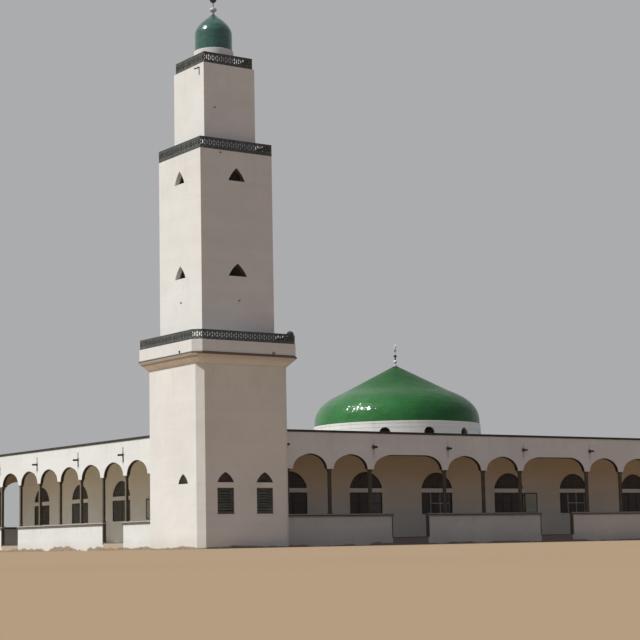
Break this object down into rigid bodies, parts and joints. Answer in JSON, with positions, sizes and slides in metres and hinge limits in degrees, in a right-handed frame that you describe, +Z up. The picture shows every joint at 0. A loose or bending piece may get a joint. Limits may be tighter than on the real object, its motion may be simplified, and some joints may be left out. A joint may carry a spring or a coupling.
{
  "type": "mosque building, 1:2 scale model",
  "caption": "Single-storey white mosque with an arcaded gallery round a flat-roofed prayer hall, a low green dome and a stepped square corner minaret; 1:2 scale model.",
  "frame": {"origin": "middle of the building's outline box on the ground, at the level where its walls meet the ground", "axes": "+X runs east along the long south front away from the minaret, +Y runs north along the west front, +Z up"},
  "size_m": [24.4274, 17.6774, 13.8329],
  "materials": {
    "white_render": "painted render, weathered",
    "concrete_floor": "trowelled concrete",
    "roof_concrete": "weathered screed",
    "dark_green_coping": "painted, worn",
    "claustra_green": "painted screen blocks",
    "green_dome_paint": "gloss paint on smooth render",
    "green_cupola_paint": "worn gloss paint",
    "window_glass": "dark glass",
    "louvre_paint": "painted slats",
    "light_plate_paint": "dark painted grille",
    "finial_metal": "dull painted metal"
  },
  "bodies": {
    "root": {"hall_floor": "concrete_floor", "south_gallery": "white_render", "west_gallery": "white_render", "north_gallery": "white_render", "east_gallery": "white_render", "hall_south_wall": "white_render", "hall_west_wall": "white_render", "hall_north_wall": "white_render", "hall_east_wall": "white_render", "south_window_glass": "window_glass", "west_window_glass": "window_glass", "north_window_glass": "window_glass", "east_window_glass": "window_glass", "south_arcade": "white_render", "west_arcade": "white_render", "north_arcade": "white_render", "east_arcade": "white_render", "roof_slab": "roof_concrete", "parapet_coping": "dark_green_coping", "dome_drum": "white_render", "main_dome": "green_dome_paint", "dome_finial": "finial_metal", "minaret_base": "white_render", "west_louvre": "louvre_paint", "east_louvre": "louvre_paint", "west_light_plate": "light_plate_paint", "east_light_plate": "light_plate_paint", "side_light_plate": "light_plate_paint", "minaret_cornice": "white_render", "cornice_claustra": "claustra_green", "minaret_shaft": "white_render", "shaft_claustra": "claustra_green", "minaret_lantern": "white_render", "lantern_claustra": "claustra_green", "cupola_drum": "white_render", "cupola": "green_cupola_paint", "cupola_finial": "finial_metal"}
  },
  "joints": []
}
